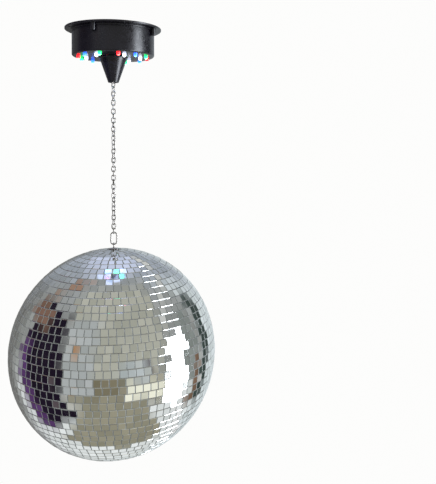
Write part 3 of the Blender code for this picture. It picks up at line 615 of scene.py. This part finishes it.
# ---- switch ----------------------------------------------------------------------------------
def switch():
    """A three-way rocker in a flanged frame, with an O between one bar and two bars."""
    front, back = FRAME_HIGH.y, 59.3 * MM
    wide, tall = SWITCH_WIDTH / 2, SWITCH_HEIGHT / 2
    bezel = block((-wide, back, SWITCH_Z - tall), (wide, front, SWITCH_Z + tall), 0.5 * MM)
    wide, tall = 6.3 * MM, 9.4 * MM
    body = block((-wide, FRAME_LOW.y, SWITCH_Z - tall), (wide, back + 0.4 * MM, SWITCH_Z + tall), 0.3 * MM)
    whole = combined(bezel, body, "UNION")
    low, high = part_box("switch_rocker")
    reach, well = 7.9 * MM, 0.4 * MM
    cut = block(
        (low.x - well, low.y - 2 * MM, SWITCH_Z - reach - well),
        (high.x + well, front + MM, SWITCH_Z + reach + well),
        0.3 * MM,
    )
    whole = combined(whole, cut)
    piece("switch_bezel", whole, "ceiling_unit", GLOSS, ["switch_frame"])

    axis = PIVOT["rocker_tilt"]
    crest, valley, hollow = 4.9 * MM, 3.9 * MM, 18 * MM
    end = math.sqrt(reach**2 - crest**2)
    side = [
        (crest, -end, 0.35 * MM),
        (valley, 0, hollow),
        (crest, end, 0.35 * MM),
        (2 * MM, 7.6 * MM, 0.5 * MM),
        (-1.5 * MM, 5 * MM, 0.5 * MM),
        (-1.5 * MM, -5 * MM, 0.5 * MM),
        (2 * MM, -7.6 * MM, 0.5 * MM),
    ]
    half = (high.x - low.x) / 2
    rocker = prism(rounded(side, step=3), -half, half)
    rim = [edge for edge in rocker.edges if edge.calc_face_angle(0) > math.radians(60)]
    bmesh.ops.bevel(rocker, geom=rim, offset=0.3 * MM, segments=2, profile=0.5, affect="EDGES")
    # the outline's x, y and thickness become y, z and x
    upright = Matrix(((0, 0, 1, 0), (1, 0, 0, 0), (0, 1, 0, 0), (0, 0, 0, 1)))
    moved(rocker, Matrix.Translation(axis) @ upright)
    piece("rocker_cap", rocker, "switch_rocker", GLOSS, ["switch_rocker"])

    slope = math.atan2(crest - valley, end)
    proud = 0.03 * MM

    def bar(along):
        """A printed bar across the rocker, this far along it from the middle."""
        tilt = Matrix.Rotation(math.copysign(slope, along), 4, "X")
        at = Vector((0, valley + abs(along) * math.tan(slope), along))
        made = block((-1.6 * MM, -0.2 * MM, -0.22 * MM), (1.6 * MM, proud, 0.22 * MM))
        return moved(made, Matrix.Translation(axis + at) @ tilt)

    piece("mark_one", bar(-3.9 * MM), "switch_rocker", PRINT)
    piece("mark_two", joined(bar(3.5 * MM), bar(4.6 * MM)), "switch_rocker", PRINT)
    outer, inner, deep = 1.6 * MM, 1.1 * MM, -0.4 * MM
    ring = [(outer, 2 * proud), (outer, deep), (inner, deep), (inner, 2 * proud)]
    lowest = valley + hollow * (1 / math.cos(slope) - 1)
    face = Matrix.Translation(axis + Vector((0, lowest + proud, 0))) @ Matrix.Rotation(-math.pi / 2, 4, "X")
    piece("mark_off", moved(turned(ring, 40), face), "switch_rocker", PRINT)


# ---- batteries -------------------------------------------------------------------------------
def batteries():
    """AA cells with a crimped foot, a film skin and a raised contact button."""
    radius, button_radius = 7.1 * MM, 2.6 * MM
    for i in range(1, 4):
        node = f"battery_{i}"
        low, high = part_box(node)
        middle = (low + high) / 2
        half = (high.x - low.x) / 2
        button = half - 0.9 * MM
        corners = [
            (0, half, 0),
            (button_radius, half, 0.5 * MM),
            (button_radius, button, 0.2 * MM),
            (radius - 1.4 * MM, button, 0.1 * MM),
            (radius - 1.2 * MM, button - 0.3 * MM, 0.1 * MM),
            (radius, button - 0.3 * MM, 0.7 * MM),
            (radius, -half, 0.6 * MM),
            (radius - 1.1 * MM, -half, 0.2 * MM),
            (radius - 1.4 * MM, -half + 0.3 * MM, 0.2 * MM),
            (0, -half + 0.3 * MM, 0),
        ]
        cell = turned(rounded(corners, closed=False), 48, closed=False)
        for face in cell.faces:
            centre = face.calc_center_median()
            bare = math.hypot(centre.x, centre.y) < radius - 0.8 * MM
            face.material_index = 1 if bare else 0
        spin = Matrix.Rotation(math.radians(-90 if i % 2 else 90), 4, "Y")
        lies = Matrix.Translation(middle) @ spin
        made = piece(f"{node}_cell", moved(cell, lies), "ceiling_unit", [CELL, STEEL], [node])
        tone = made.data.attributes.new("tone", "FLOAT", "POINT")
        back = lies.inverted()
        for vertex, value in zip(made.data.vertices, tone.data):
            value.value = 1 - ((back @ vertex.co).z + half) / (2 * half)


def battery_contacts():
    """A spring-steel strip at each end, with a dimple pressed against each of its two cells."""
    for side, node, cells in ((-1, "contact_left", (1, 2)), (1, "contact_right", (2, 3))):
        low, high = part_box(node)
        strip = block(low, high, 0.15 * MM)
        face = high.x if side < 0 else low.x
        for i in cells:
            cell_low, cell_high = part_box(f"battery_{i}")
            middle = (cell_low + cell_high) / 2
            reach = abs(face) - cell_high.x - 0.05 * MM
            corners = [
                (0, reach, 0),
                (1.1 * MM, reach, 0.7 * MM),
                (2.2 * MM, 0, 0.4 * MM),
                (2.6 * MM, -0.1 * MM, 0),
                (0, -0.1 * MM, 0),
            ]
            dimple = turned(rounded(corners, closed=False), 32, closed=False)
            turn = Matrix.Rotation(math.radians(-90 * side), 4, "Y")
            moved(dimple, Matrix.Translation((face, middle.y, middle.z)) @ turn)
            strip = combined(strip, dimple, "UNION")
        piece(f"{node}_strip", strip, "ceiling_unit", STEEL, [node])


# ---- gearbox output, cone --------------------------------------------------------------------
EYE_WIRE = 1.8 * MM
FIRST_LINK_ANGLE = 45


def output_shaft():
    """A steel shaft that ends in a wire eye."""
    low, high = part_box("output_shaft")
    eye_radius, shaft_radius, pivot_radius, shoulder = 3.1 * MM, 3 * MM, 1.3 * MM, -33.4 * MM
    eye_z = low.z + eye_radius + EYE_WIRE / 2
    outline = rounded(
        [
            (0, high.z, 0),
            (pivot_radius, high.z, 0.2 * MM),
            (pivot_radius, shoulder, 0),
            (shaft_radius, shoulder, 0.2 * MM),
            (shaft_radius, eye_z + eye_radius, 0.4 * MM),
            (0, eye_z + eye_radius, 0),
        ],
        closed=False,
    )
    eye = swept(oval(2 * eye_radius, 2 * eye_radius, 20), EYE_WIRE, Vector((0, 1, 0)))
    turn = Matrix.Rotation(math.radians(FIRST_LINK_ANGLE + 90), 4, "Z")
    moved(eye, Matrix.Translation((0, 0, eye_z)) @ turn)
    shaft = combined(turned(outline, 40, closed=False), eye, "UNION")
    piece("output_shaft_eye", shaft, "output_drive", STEEL, ["output_shaft"])


def nose_cone():
    """A thin-walled cone with a lip at its foot; its hub grips the shaft."""
    low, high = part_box("nose_cone")
    base_radius, tip_radius = high.x, 7.6 * MM
    mouth, wall, bore, hub = 5.75 * MM, 2.2 * MM, 3.2 * MM, 6.4 * MM
    lip = high.z - 1.6 * MM
    waist = base_radius - 0.9 * MM
    roof, hub_end = high.z - 2.2 * MM, -57 * MM
    slope = (waist - tip_radius) / (lip - low.z)

    def inside(z):
        return tip_radius + slope * (z - low.z) - wall

    corners = [
        (base_radius, high.z, 0.5 * MM),
        (base_radius, lip, 0.4 * MM),
        (waist, lip - 0.2 * MM, 0.5 * MM),
        (tip_radius, low.z, 0.6 * MM),
        (mouth, low.z, 0.5 * MM),
        (mouth, low.z + 3 * MM, 0.3 * MM),
        (inside(low.z + 5 * MM), low.z + 5 * MM, 0),
        (inside(roof), roof, 0.5 * MM),
        (hub, roof, 0.5 * MM),
        (hub, hub_end, 0.4 * MM),
        (bore, hub_end, 0.2 * MM),
        (bore, high.z, 0.2 * MM),
    ]
    cone = turned(rounded(corners), 112)
    piece("nose_cone_shell", cone, "output_drive", BLACK, ["nose_cone"])


# ---- chain, ring and eye ---------------------------------------------------------------------
LINK_WIRE = 1.7 * MM
LINK_WIDTH = 7 * MM
SECTIONS = 7
LINKS_PER_SECTION = 5
LINKS = SECTIONS * LINKS_PER_SECTION
LINK_TURN = 90 + 225 / LINKS
RING_WIRE = 1.9 * MM


def welded(half_width):
    """Wire that swells a little at the weld in the middle of one long side."""

    def swell(point):
        near = (point - Vector((half_width, 0, 0))).length / (0.7 * MM)
        return 1 + 0.1 * math.exp(-(near**2))

    return swell


def chain():
    """Separate links that touch each other; five of them hang as one body."""
    tops = [PIVOT["chain_1_swing"].z + EYE_WIRE / 2]
    tops += [PIVOT[f"chain_{k}_swing"].z + LINK_WIRE / 2 for k in range(2, SECTIONS + 1)]
    tops += [PIVOT["ring_swing"].z + LINK_WIRE / 2]
    half_width = (LINK_WIDTH - LINK_WIRE) / 2
    for i in range(LINKS):
        section, place = divmod(i, LINKS_PER_SECTION)
        inside = (tops[section] - tops[section + 1]) / LINKS_PER_SECTION
        middle = tops[section] - (place + 0.5) * inside
        path = oval(2 * half_width, inside + LINK_WIRE, 12)
        link = swept(path, LINK_WIRE, Vector((0, 1, 0)), swell=welded(half_width))
        turn = Matrix.Rotation(math.radians(FIRST_LINK_ANGLE + LINK_TURN * i), 4, "Z")
        moved(link, Matrix.Translation((0, 0, middle)) @ turn)
        node = f"chain_{section + 1}"
        piece(f"link_{i + 1:02d}", link, node, NICKEL, [node], 60)


def hanger_ring():
    """The long oval ring between the chain and the ball."""
    low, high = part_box("hanger_ring")
    top = PIVOT["ring_swing"].z + LINK_WIRE / 2
    bottom = PIVOT["ball_swing"].z + RING_WIRE / 2
    width = high.x - low.x - RING_WIRE
    path = oval(width, top - bottom + RING_WIRE, 18)
    ring = swept(path, RING_WIRE, Vector((0, 1, 0)), sides=18, swell=welded(width / 2))
    moved(ring, Matrix.Translation((0, 0, (top + bottom) / 2)))
    piece("hanger_loop", ring, "hanger_ring", NICKEL, ["hanger_ring"], 60)


def ball_eye():
    """A wire eye on a domed foot that sits in the middle of the topmost row of tiles."""
    eye_radius = 3.9 * MM
    eye_z = PIVOT["ball_swing"].z + RING_WIRE / 2 + EYE_WIRE / 2 - eye_radius
    foot = BALL_TOP + 0.1 * MM
    foot_radius, shank_radius, shank_end = 8 * MM, 2.5 * MM, foot - 15.8 * MM
    corners = [
        (0, foot + 1.4 * MM, 0),
        (3 * MM, foot + 1.4 * MM, 0.8 * MM),
        (4.4 * MM, foot + 0.9 * MM, 0.8 * MM),
        (foot_radius, foot + 0.5 * MM, 0.25 * MM),
        (foot_radius, foot, 0.1 * MM),
        (shank_radius, foot, 0),
        (shank_radius, shank_end, 0.3 * MM),
        (0, shank_end, 0),
    ]
    shank = turned(rounded(corners, closed=False), 48, closed=False)
    eye = swept(oval(2 * eye_radius, 2 * eye_radius, 22), EYE_WIRE, Vector((0, 1, 0)), sides=18)
    moved(eye, Matrix.Translation((0, 0, eye_z)) @ Matrix.Rotation(math.pi / 2, 4, "Z"))
    piece("ball_eye_bolt", combined(shank, eye, "UNION"), "ball", NICKEL, ["ball_eye"], 50)


# ---- ball ------------------------------------------------------------------------------------
SKIN_LOW, SKIN_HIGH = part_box("mirror_skin_lower")
BALL_RADIUS = SKIN_HIGH.x
BALL_CENTRE = Vector((0, 0, SKIN_LOW.z + BALL_RADIUS))
BALL_TOP = BALL_CENTRE.z + BALL_RADIUS
ROWS = 46
TILE_FACE = BALL_RADIUS - 0.3 * MM
TILE_PITCH = math.pi * TILE_FACE / ROWS
TILE_GAP = 0.55 * MM
TILE_TILT, TILE_TWIST, TILE_SINK = 0.9, 0.3, 0.04  # how far most tiles are askew: degrees and mm
TILE_THICKNESS = 1.6 * MM
TILE_EDGE = ((0.42, 0), (0.16, 0.115), (0, 0.315))  # a rounded edge: inset and depth, in mm
BACKING_RADIUS = TILE_FACE - 0.75 * MM
CORE_WALL = 2.5 * MM
SHANK_HOLE = 3 * MM


def ball_core():
    """The two half shells that carry the tiles, closed over by their backing."""
    for upper, half in ((True, "upper"), (False, "lower")):
        sign = 1 if upper else -1
        hole_angle = SHANK_HOLE / BACKING_RADIUS if upper else 0
        steps = 48
        lifts = [(math.pi / 2 - hole_angle) * k / steps for k in range(steps + 1)]
        outer, inner = (
            [(radius * math.cos(lift), sign * radius * math.sin(lift)) for lift in lifts]
            for radius in (BACKING_RADIUS, BACKING_RADIUS - CORE_WALL)
        )
        outline = outer + inner[::-1]
        if not upper:
            outline[steps] = (0, outline[steps][1])
            outline[steps + 1] = (0, outline[steps + 1][1])
        shell = turned(outline, 128)
        moved(shell, Matrix.Translation(BALL_CENTRE))
        piece(f"core_{half}_shell", shell, "ball", BACKING, [f"ball_core_{half}"])


def tile_shape(top, bottom):
    """The corners of one tile, its face up at z = 0: the face, down its rounded edge, the back."""
    shape = []
    for inset, depth in (*TILE_EDGE, (0, TILE_THICKNESS / MM)):
        upper, lower = top / 2 - inset * MM, bottom / 2 - inset * MM
        y, z = (TILE_PITCH - TILE_GAP) / 2 - inset * MM, -depth * MM
        corners = ((-lower, -y, z), (lower, -y, z), (upper, y, z), (-upper, y, z))
        shape.append([Vector(corner) for corner in corners])
    return shape


def add_tile(bm, tone_layer, shape, place, tone):
    """One tile: a silvered face, its upper and lower edges still silvered, ground sides and back."""
    rings = [[bm.verts.new(place @ corner) for corner in ring] for ring in shape]
    for ring in rings:
        for vertex in ring:
            vertex[tone_layer] = tone
    bm.faces.new(rings[0])
    bm.faces.new(rings[-1][::-1])
    for upper, lower in zip(rings, rings[1:]):
        for k in range(4):
            nxt = (k + 1) % 4
            face = bm.faces.new((upper[k], lower[k], lower[nxt], upper[nxt]))
            along_row = k % 2 == 0
            face.material_index = 0 if along_row and lower is not rings[-1] else 1


def mirror_rows():
    """Rings of square glass tiles, each one glued on a little askew.

    Near the poles the tiles are cut narrower on the side of the pole, so that they don't overlap.
    The eye's foot fills the topmost ring, and the round tile the lowest one.
    """
    draw = random.Random(46)
    for row in range(1, ROWS - 1):
        polar = (row + 0.5) * math.pi / ROWS
        girth = TURN * TILE_FACE * math.sin(polar)
        count = math.floor(girth / TILE_PITCH + 0.25)
        width = min(girth / count, TILE_PITCH * 1.06) - TILE_GAP
        rims = [TURN * TILE_FACE * math.sin(edge * math.pi / ROWS) for edge in (row, row + 1)]
        shape = tile_shape(*(min(width, rim / count - TILE_GAP / 3) for rim in rims))
        bm = bmesh.new()
        tone_layer = bm.verts.layers.float.new("tone")
        start = draw.uniform(0, TURN)
        for k in range(count):
            lean = Matrix.Rotation(math.radians(draw.gauss(0, TILE_TILT)), 4, "X")
            sway = Matrix.Rotation(math.radians(draw.gauss(0, TILE_TILT)), 4, "Y")
            twist = Matrix.Rotation(math.radians(draw.gauss(0, TILE_TWIST)), 4, "Z")
            sink = Matrix.Translation((0, 0, TILE_FACE - abs(draw.gauss(0, TILE_SINK)) * MM))
            turn = Matrix.Rotation(start + TURN * k / count, 4, "Z")
            tip = Matrix.Rotation(polar, 4, "Y")
            quarter = Matrix.Rotation(math.pi / 2, 4, "Z")
            place = Matrix.Translation(BALL_CENTRE) @ turn @ tip @ sink @ quarter @ lean @ sway @ twist
            add_tile(bm, tone_layer, shape, place, draw.random())
        skin = "mirror_skin_upper" if row < ROWS / 2 else "mirror_skin_lower"
        piece(f"mirror_row_{row + 1:02d}", bm, "ball", [TILE, EDGE], [skin], 20)


def bottom_tile():
    """A round glass tile at the lower pole."""
    low, radius = BALL_CENTRE.z - TILE_FACE, 9.6 * MM
    high = low + TILE_THICKNESS
    corners = [(0, high, 0), (radius, high, 0), (radius, low, 0.4 * MM), (0, low, 0)]
    disc = turned(rounded(corners, closed=False), 48, closed=False)
    piece("bottom_round_tile", disc, "ball", TILE, ["mirror_skin_lower"])


# ---- camera, floor and light -----------------------------------------------------------------
BACKDROP = (0.98, 0.98, 0.972)
FLOOR_Z, FLOOR_RADIUS, FLOOR_FADE = -2.6, 8, (0.5, 2.2)


def camera():
    """A camera a little below the motor, which looks almost level and slightly to the right."""
    data = bpy.data.cameras.new("camera")
    data.sensor_fit = "HORIZONTAL"
    data.sensor_width = 36
    data.lens = 50.9
    data.shift_y = -0.1887
    data.clip_end = 50
    obj = bpy.data.objects.new("camera", data)
    obj.location = (0, -0.9256, -0.1789)
    obj.rotation_euler = (math.radians(90 - 0.88), 0, math.radians(-9.61))
    bpy.context.scene.collection.objects.link(obj)
    bpy.context.scene.camera = obj


def fade_into_backdrop(look, near, far):
    """Blends a look into the backdrop's own brightness between two distances from its middle."""
    nodes, links = look.tree.nodes, look.tree.links
    distance = nodes.new("ShaderNodeVectorMath")
    distance.operation = "LENGTH"
    links.new(look.place, distance.inputs[0])
    share = nodes.new("ShaderNodeMapRange")
    share.interpolation_type = "SMOOTHSTEP"
    share.inputs["From Min"].default_value = near
    share.inputs["From Max"].default_value = far
    links.new(distance.outputs["Value"], share.inputs["Value"])
    plain = nodes.new("ShaderNodeEmission")
    plain.inputs["Color"].default_value = (*BACKDROP, 1)
    mixed = nodes.new("ShaderNodeMixShader")
    links.new(share.outputs["Result"], mixed.inputs["Fac"])
    links.new(look.shader.outputs[0], mixed.inputs[1])
    links.new(plain.outputs[0], mixed.inputs[2])
    links.new(mixed.outputs[0], nodes["Material Output"].inputs["Surface"])


def floor():
    """A pale floor, a room's height below the ceiling, that the mirrors don't see."""
    bm = bmesh.new()
    bmesh.ops.create_circle(bm, cap_ends=True, segments=96, radius=FLOOR_RADIUS)
    mesh = bpy.data.meshes.new("floor")
    bm.to_mesh(mesh)
    bm.free()
    look = Look("floor_paint", (0.9, 0.9, 0.89), 0.8)
    look.blend("Base Color", look.noise(0.7), [(0.3, (0.88, 0.88, 0.87)), (0.7, (0.92, 0.92, 0.91))])
    fade_into_backdrop(look, *FLOOR_FADE)
    mesh.materials.append(look.material)
    obj = bpy.data.objects.new("floor", mesh)
    obj.location.z = FLOOR_Z
    obj.visible_glossy = False
    bpy.context.scene.collection.objects.link(obj)


def disc_light(name, place, aim, size, radiance, colour, mirrored):
    """A round lamp that the camera never sees; only some of the lamps show in the mirrors."""
    data = bpy.data.lights.new(name, "AREA")
    data.shape = "DISK"
    data.size = size
    data.energy = radiance * (math.pi * size / 2) ** 2
    data.color = colour
    obj = bpy.data.objects.new(name, data)
    obj.location = place
    obj.rotation_euler = (Vector(aim) - Vector(place)).to_track_quat("-Z", "Y").to_euler()
    obj.visible_camera = False
    obj.visible_glossy = mirrored
    bpy.context.scene.collection.objects.link(obj)


def soft_lights():
    """A large key light from the front left and a weaker fill light from the front right."""
    aim = (0, 0, -0.3)
    disc_light("key_light", (-1.6, -1.8, 0.9), aim, 1.6, 6.3, (1, 0.98, 0.95), False)
    disc_light("fill_light", (1.8, -1.2, -0.3), aim, 1.8, 2.3, (0.95, 0.97, 1), False)


GLARE_SIZE, GLARE_RADIANCE = 25 * MM, 3.5
LED_GLARE = {
    "red": (0.13, 0.09, 0.2),
    "blue": (0.2, 0.34, 0.9),
    "green": (0.01, 0.62, 0.26),
    "white": (1.3, 1.45, 1.8),
}


def led_glare():
    """The glare around each lit LED, and the paler light that they throw together."""
    for name in LED_NODES:
        low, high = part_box(name)
        middle = (low + high) / 2
        place = Vector((middle.x, middle.y, low.z - MM))
        colour = LED_GLARE[name.split("_")[1]]
        disc_light(f"{name}_glare", place, place - UP, GLARE_SIZE, GLARE_RADIANCE, colour, True)
    place = Vector((0, 0, FACE_Z - 9 * MM))
    disc_light("face_glow", place, place - UP, 2.6 * DRUM_RADIUS, 0.9, (0.5, 0.62, 1), True)


# What the mirrors see of the studio: azimuth from the front towards +X and elevation of each
# panel's middle, its width and height, how soft its edge is (all in degrees), and its colour.
PANELS = (
    ("pale_side", 152, 5, 70, 110, 20, (0.70, 0.77, 0.80)),
    ("dim_side", -156, -4, 52, 72, 24, (0.17, 0.17, 0.165)),
    ("cool_ceiling", 178, 44, 72, 62, 26, (0.38, 0.42, 0.49)),
    ("ceiling_glow", 180, 54, 28, 32, 20, (0.68, 0.75, 0.98)),
    ("warm_wall", 4, 24, 100, 116, 14, (0.45, 0.455, 0.395)),
    ("skirting", 4, -36, 96, 30, 6, (0.36, 0.345, 0.275)),
    ("front_floor", 0, -68, 62, 66, 3, (0.32, 0.305, 0.23)),
    ("pale_shelf", 21, -7, 30, 18, 6, (0.50, 0.55, 0.57)),
    ("lamplit_shelf", 34, -27, 38, 16, 6, (0.93, 0.93, 0.79)),
    ("cabinet", -12, -23, 34, 22, 5, (0.21, 0.19, 0.13)),
    ("picture", 38, -4, 9, 13, 1, (0.10, 0.08, 0.085)),
    ("vent", -3, 37, 10, 5, 1, (0.14, 0.14, 0.12)),
    ("blue_wall", -39, 8, 36, 74, 5, (0.45, 0.48, 0.49)),
    ("orange_cloth", -45, 13, 8, 15, 3, (0.50, 0.26, 0.11)),
    ("curtain", -84, -8, 52, 92, 4, (0.014, 0.009, 0.020)),
    ("curtain_fold", -72, -10, 3, 60, 2, (0.10, 0.08, 0.09)),
    ("curtain_glow", -109, -24, 14, 58, 8, (0.10, 0.045, 0.15)),
    ("brown_shelf", -106, 25, 34, 15, 4, (0.20, 0.12, 0.09)),
    ("wood_beam", -112, 54, 9, 32, 5, (0.37, 0.24, 0.18)),
    ("side_wall", 92, 0, 18, 52, 6, (0.26, 0.29, 0.28)),
    ("window", 72, -14, 25, 60, 2, (12.0, 12.8, 13.8)),
    ("window_frame", 105, -26, 9, 32, 3, (0.20, 0.13, 0.09)),
    ("dark_doorway", 120, -6, 13, 64, 4, (0.05, 0.07, 0.065)),
    ("ceiling_light", 118, 47, 84, 5, 4, (0.62, 0.63, 0.62)),
    ("floor_light", 120, -50, 60, 4, 2, (0.85, 0.86, 0.87)),
)
# Behind the panels, the surround's colour from straight below (0) to straight above (1).
LEVELS = (
    (0.0, (0.84, 0.88, 0.89)),
    (0.26, (0.76, 0.80, 0.81)),
    (0.44, (0.30, 0.31, 0.30)),
    (1.0, (0.35, 0.37, 0.38)),
)
# The panels' outlines are made uneven by noise of this scale, which shifts directions this far.
RIPPLE_SCALE, RIPPLE_SHIFT = 5.0, 0.2


def studio():
    """A plain pale surround for the camera and for soft light; the mirrors see coloured panels."""
    world = bpy.data.worlds.new("studio")
    bpy.context.scene.world = world
    world.use_nodes = True
    tree = world.node_tree
    tree.nodes.clear()

    def node(kind, inputs=(), **settings):
        made = tree.nodes.new(kind)
        for key, value in settings.items():
            setattr(made, key, value)
        for key, value in inputs:
            if isinstance(value, bpy.types.NodeSocket):
                tree.links.new(value, made.inputs[key])
            else:
                made.inputs[key].default_value = value
        return made

    def mix(factor, first, second):
        return node("ShaderNodeMix", [(0, factor), (6, first), (7, second)], data_type="RGBA").outputs[2]

    def vector(operation, *inputs):
        return node("ShaderNodeVectorMath", inputs, operation=operation).outputs[0]

    def rotated(start, angles):
        inputs = [("Vector", start), ("Rotation", angles)]
        return node("ShaderNodeVectorRotate", inputs, rotation_type="EULER_XYZ").outputs[0]

    def inside(value, half, soft):
        """1 where the value is within half of zero, falling to 0 over a soft edge."""
        size = node("ShaderNodeMath", [(0, value)], operation="ABSOLUTE").outputs[0]
        edges = [("Value", size), ("From Min", half + soft / 2), ("From Max", half - soft / 2)]
        return node("ShaderNodeMapRange", edges, interpolation_type="SMOOTHSTEP").outputs[0]

    straight = node("ShaderNodeTexCoord").outputs["Generated"]
    rough = [("Vector", straight), ("Scale", RIPPLE_SCALE), ("Detail", 3.0)]
    ripple = node("ShaderNodeTexNoise", rough).outputs["Color"]
    centred = vector("SUBTRACT", (0, ripple), (1, (0.5, 0.5, 0.5)))
    shift = vector("SCALE", (0, centred), ("Scale", RIPPLE_SHIFT))
    bent = vector("ADD", (0, straight), (1, shift))
    direction = vector("NORMALIZE", (0, bent))
    height = node("ShaderNodeSeparateXYZ", [(0, direction)]).outputs["Z"]
    level = node("ShaderNodeMapRange", [("Value", height), ("From Min", -1.0)]).outputs[0]
    ramp = node("ShaderNodeValToRGB", [(0, level)])
    fill_ramp(ramp, LEVELS)
    seen = ramp.outputs["Color"]
    for name, azimuth, elevation, width, tall, soft, colour in PANELS:
        facing = rotated(direction, (0, 0, math.radians(180 - azimuth)))
        ahead = rotated(facing, (math.radians(-elevation), 0, 0))
        parts = node("ShaderNodeSeparateXYZ", [(0, ahead)]).outputs
        across = node("ShaderNodeMath", [(0, parts["X"]), (1, parts["Y"])], operation="ARCTAN2").outputs[0]
        rise = node("ShaderNodeMath", [(0, parts["Z"])], operation="ARCSINE").outputs[0]
        sides = inside(across, math.radians(width / 2), math.radians(soft))
        ends = inside(rise, math.radians(tall / 2), math.radians(soft))
        mask = node("ShaderNodeMath", [(0, sides), (1, ends)], operation="MULTIPLY").outputs[0]
        seen = mix(mask, seen, (*colour, 1))

    mirrored = node("ShaderNodeBackground", [("Color", seen), ("Strength", 1.0)]).outputs[0]
    plain = node("ShaderNodeBackground", [("Color", (*BACKDROP, 1)), ("Strength", 1.0)]).outputs[0]
    glossy = node("ShaderNodeLightPath").outputs["Is Glossy Ray"]
    choice = node("ShaderNodeMixShader", [(0, glossy), (1, plain), (2, mirrored)]).outputs[0]
    node("ShaderNodeOutputWorld", [("Surface", choice)])


finish_inner_nodes()
ceiling_plate()
case_screws()
battery_door()
motor_housing()
leds()
switch()
batteries()
battery_contacts()
output_shaft()
nose_cone()
chain()
hanger_ring()
ball_eye()
ball_core()
mirror_rows()
bottom_tile()
camera()
floor()
soft_lights()
led_glare()
studio()
bpy.context.scene.view_settings.view_transform = "Standard"
